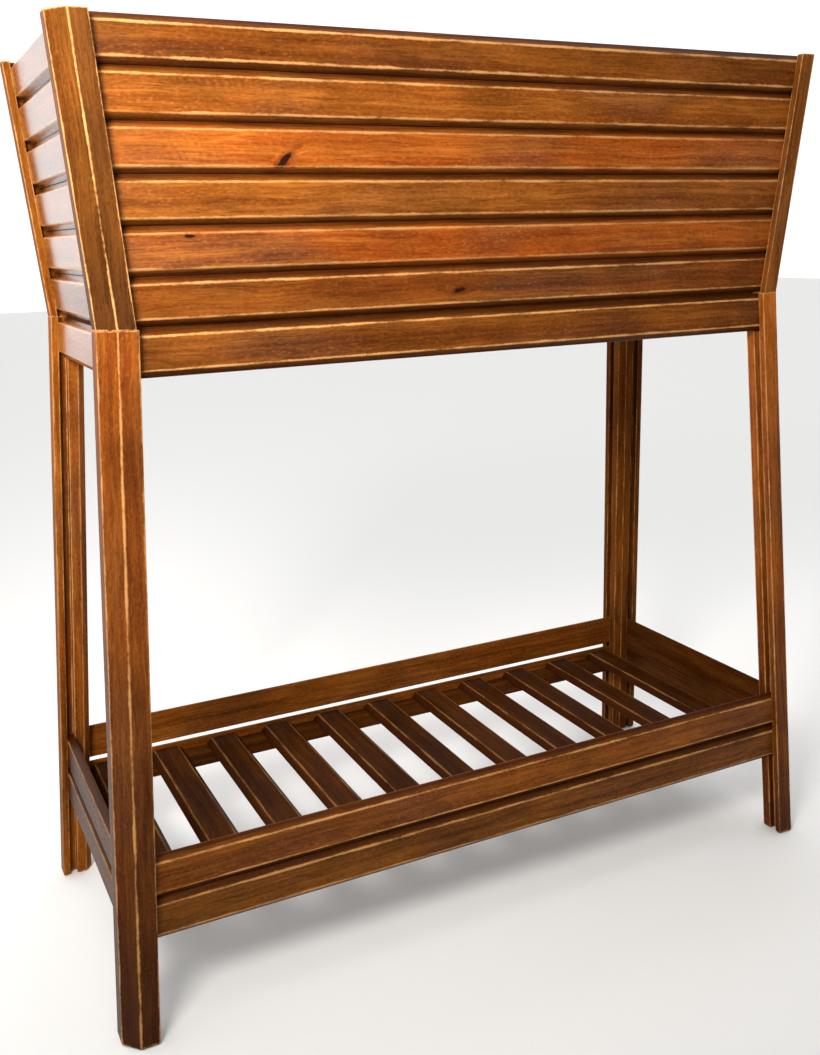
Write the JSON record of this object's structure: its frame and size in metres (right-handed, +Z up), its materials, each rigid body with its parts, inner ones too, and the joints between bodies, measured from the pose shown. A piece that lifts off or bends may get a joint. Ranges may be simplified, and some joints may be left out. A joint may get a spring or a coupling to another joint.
{
  "type": "raised trough planter bench",
  "caption": "Raised planting trough with flared V-boarded sides on a splayed four-leg stand, with a railed slatted shelf tray below.",
  "frame": {"origin": "centre of the footprint, on the floor", "axes": "+X along the length to the right seen from the front, +Y from front to back, +Z up"},
  "size_m": [0.842, 0.358, 0.9],
  "materials": {
    "stained_boards": "gloss red-brown stain over V-edged softwood boards, edges rubbed lighter",
    "stained_frame": "gloss red-brown stain on planed sticks, arrises rubbed lighter",
    "plain_pine": "unfinished softwood, matt"
  },
  "bodies": {
    "root": {"front_board_1": "stained_boards", "front_board_2": "stained_boards", "front_board_3": "stained_boards", "front_board_4": "stained_boards", "front_board_5": "stained_boards", "front_board_6": "stained_boards", "rear_board_1": "stained_boards", "rear_board_2": "stained_boards", "rear_board_3": "stained_boards", "rear_board_4": "stained_boards", "rear_board_5": "stained_boards", "rear_board_6": "stained_boards", "left_board_1": "stained_boards", "left_board_2": "stained_boards", "left_board_3": "stained_boards", "left_board_4": "stained_boards", "left_board_5": "stained_boards", "left_board_6": "stained_boards", "right_board_1": "stained_boards", "right_board_2": "stained_boards", "right_board_3": "stained_boards", "right_board_4": "stained_boards", "right_board_5": "stained_boards", "right_board_6": "stained_boards", "front_left_post": "stained_frame", "front_right_post": "stained_frame", "rear_left_post": "stained_frame", "rear_right_post": "stained_frame", "front_left_leg": "stained_frame", "front_right_leg": "stained_frame", "rear_left_leg": "stained_frame", "rear_right_leg": "stained_frame", "front_apron": "stained_boards", "rear_apron": "stained_boards", "left_apron": "stained_boards", "right_apron": "stained_boards", "front_upper_rail": "stained_boards", "rear_upper_rail": "stained_boards", "left_upper_rail": "stained_boards", "right_upper_rail": "stained_boards", "front_lower_rail": "stained_boards", "rear_lower_rail": "stained_boards", "left_lower_rail": "stained_boards", "right_lower_rail": "stained_boards", "shelf_slat_1": "stained_boards", "shelf_slat_2": "stained_boards", "shelf_slat_3": "stained_boards", "shelf_slat_4": "stained_boards", "shelf_slat_5": "stained_boards", "shelf_slat_6": "stained_boards", "shelf_slat_7": "stained_boards", "shelf_slat_8": "stained_boards", "shelf_slat_9": "stained_boards", "shelf_slat_10": "stained_boards", "shelf_slat_11": "stained_boards", "shelf_ledgers": "plain_pine", "floor_ledgers": "plain_pine", "trough_floor_slats": "plain_pine", "corner_dowels": "plain_pine"}
  },
  "joints": []
}
